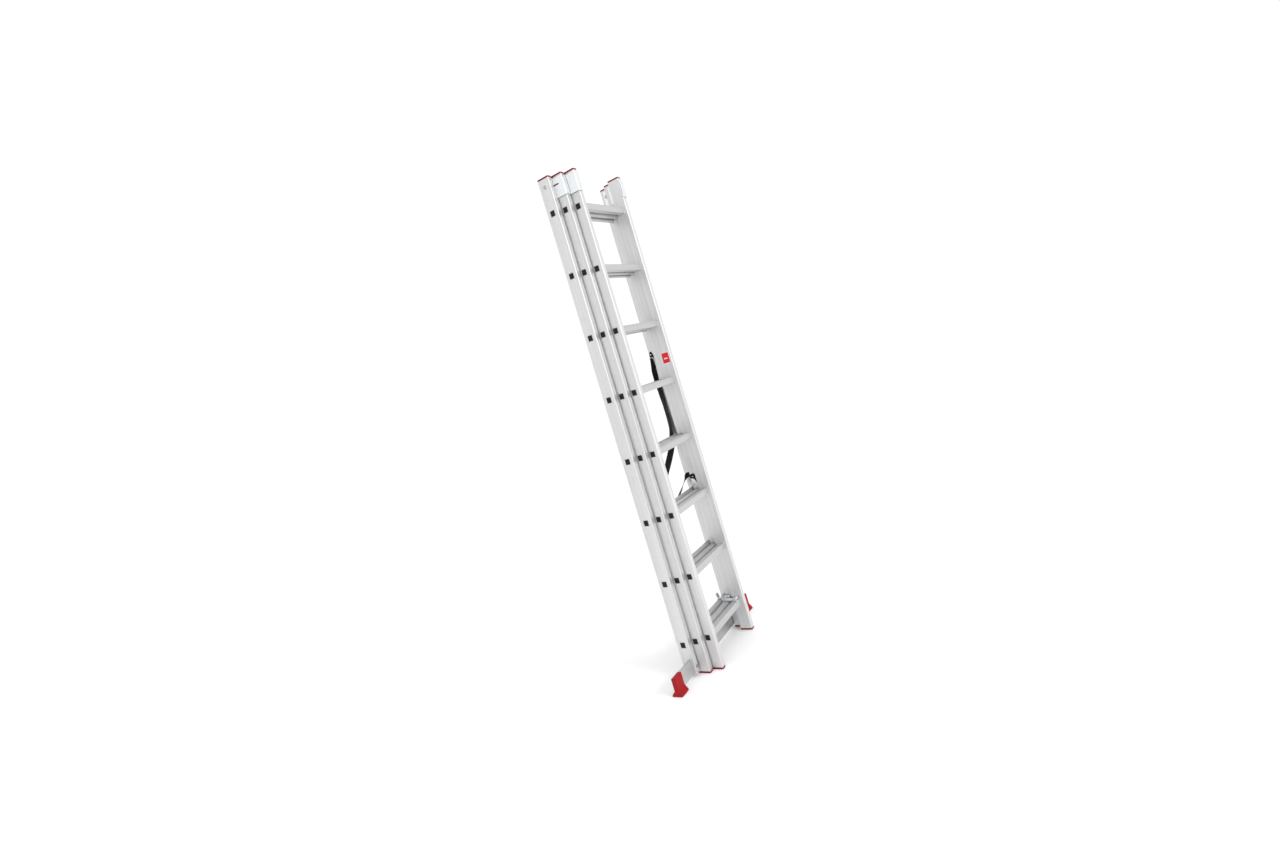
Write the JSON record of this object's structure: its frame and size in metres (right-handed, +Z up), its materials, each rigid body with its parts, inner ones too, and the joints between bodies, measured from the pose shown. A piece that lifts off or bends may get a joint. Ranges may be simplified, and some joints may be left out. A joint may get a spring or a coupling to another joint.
{
  "type": "combination ladder",
  "caption": "Closed three-section aluminium combination ladder with guide brackets, swinging rung hooks, a spreader strap and a stabiliser bar on moulded feet.",
  "frame": {"origin": "on the floor, in the middle of the closed ladder's footprint", "axes": "+Z up the stiles, +X along the rungs, +Y towards the back, where the wide base section is"},
  "size_m": [0.773, 0.1675, 2.266],
  "materials": {
    "aluminium": "extruded, satin",
    "zinc_steel": "zinc plated, satin",
    "red_plastic": "moulded, fine grain",
    "black_plastic": "moulded, fine grain",
    "black_webbing": "woven polyester webbing"
  },
  "bodies": {
    "section_a": {"stile_a_left": "aluminium", "stile_a_right": "aluminium", "rung_a1": "aluminium", "rung_a2": "aluminium", "rung_a3": "aluminium", "rung_a4": "aluminium", "rung_a5": "aluminium", "rung_a6": "aluminium", "rung_a7": "aluminium", "rung_a8": "aluminium", "rung_plugs_a": "black_plastic", "top_caps_a": "red_plastic", "stabiliser_bar": "aluminium", "stabiliser_bolts": "zinc_steel", "foot_left": "red_plastic", "foot_right": "red_plastic", "pivot_bolts": "zinc_steel", "pivot_washers": "black_plastic", "strap_webbing": "black_webbing", "strap_anchor_a": "black_webbing"},
    "upper_guides": {"guide_a_left": "zinc_steel", "guide_a_right": "zinc_steel", "guide_pads_a": "black_plastic"},
    "section_b": {"stile_b_left": "aluminium", "stile_b_right": "aluminium", "rung_b1": "aluminium", "rung_b2": "aluminium", "rung_b3": "aluminium", "rung_b4": "aluminium", "rung_b5": "aluminium", "rung_b6": "aluminium", "rung_b7": "aluminium", "rung_b8": "aluminium", "rung_plugs_b": "black_plastic", "top_caps_b": "red_plastic", "bottom_caps_b": "red_plastic", "guide_b_left": "zinc_steel", "guide_b_right": "zinc_steel", "guide_pads_b": "black_plastic", "guide_rivets": "zinc_steel", "hook_mounts_b": "zinc_steel", "strap_anchor_b": "black_webbing"},
    "section_c": {"stile_c_left": "aluminium", "stile_c_right": "aluminium", "rung_c1": "aluminium", "rung_c2": "aluminium", "rung_c3": "aluminium", "rung_c4": "aluminium", "rung_c5": "aluminium", "rung_c6": "aluminium", "rung_c7": "aluminium", "rung_c8": "aluminium", "rung_plugs_c": "black_plastic", "top_caps_c": "red_plastic", "bottom_caps_c": "red_plastic", "hook_mounts_c": "zinc_steel"},
    "hook_b_left": {"hook_b_left": "zinc_steel"},
    "hook_b_right": {"hook_b_right": "zinc_steel"},
    "hook_c_left": {"hook_c_left": "zinc_steel"},
    "hook_c_right": {"hook_c_right": "zinc_steel"}
  },
  "joints": [
    {"name": "a_frame_hinge", "type": "hinge", "parent": "section_a", "child": "upper_guides", "pos_m": [0, 0.0475, 2.222], "axis": [-1, 0, 0], "range_deg": [0, 35]},
    {"name": "section_b_slide", "type": "slide", "parent": "upper_guides", "child": "section_b", "axis": [0, 0, 1], "range_m": [0, 1.4]},
    {"name": "section_c_slide", "type": "slide", "parent": "section_b", "child": "section_c", "axis": [0, 0, 1], "range_m": [0, 1.4]},
    {"name": "hook_b_left_pivot", "type": "hinge", "parent": "section_b", "child": "hook_b_left", "pos_m": [0, -0.004, 0.17], "axis": [1, 0, 0], "range_deg": [0, 80]},
    {"name": "hook_b_right_pivot", "type": "hinge", "parent": "section_b", "child": "hook_b_right", "pos_m": [0, -0.004, 0.17], "axis": [1, 0, 0], "range_deg": [0, 80]},
    {"name": "hook_c_left_pivot", "type": "hinge", "parent": "section_c", "child": "hook_c_left", "pos_m": [0, -0.0515, 0.17], "axis": [1, 0, 0], "range_deg": [0, 80]},
    {"name": "hook_c_right_pivot", "type": "hinge", "parent": "section_c", "child": "hook_c_right", "pos_m": [0, -0.0515, 0.17], "axis": [1, 0, 0], "range_deg": [0, 80]}
  ]
}
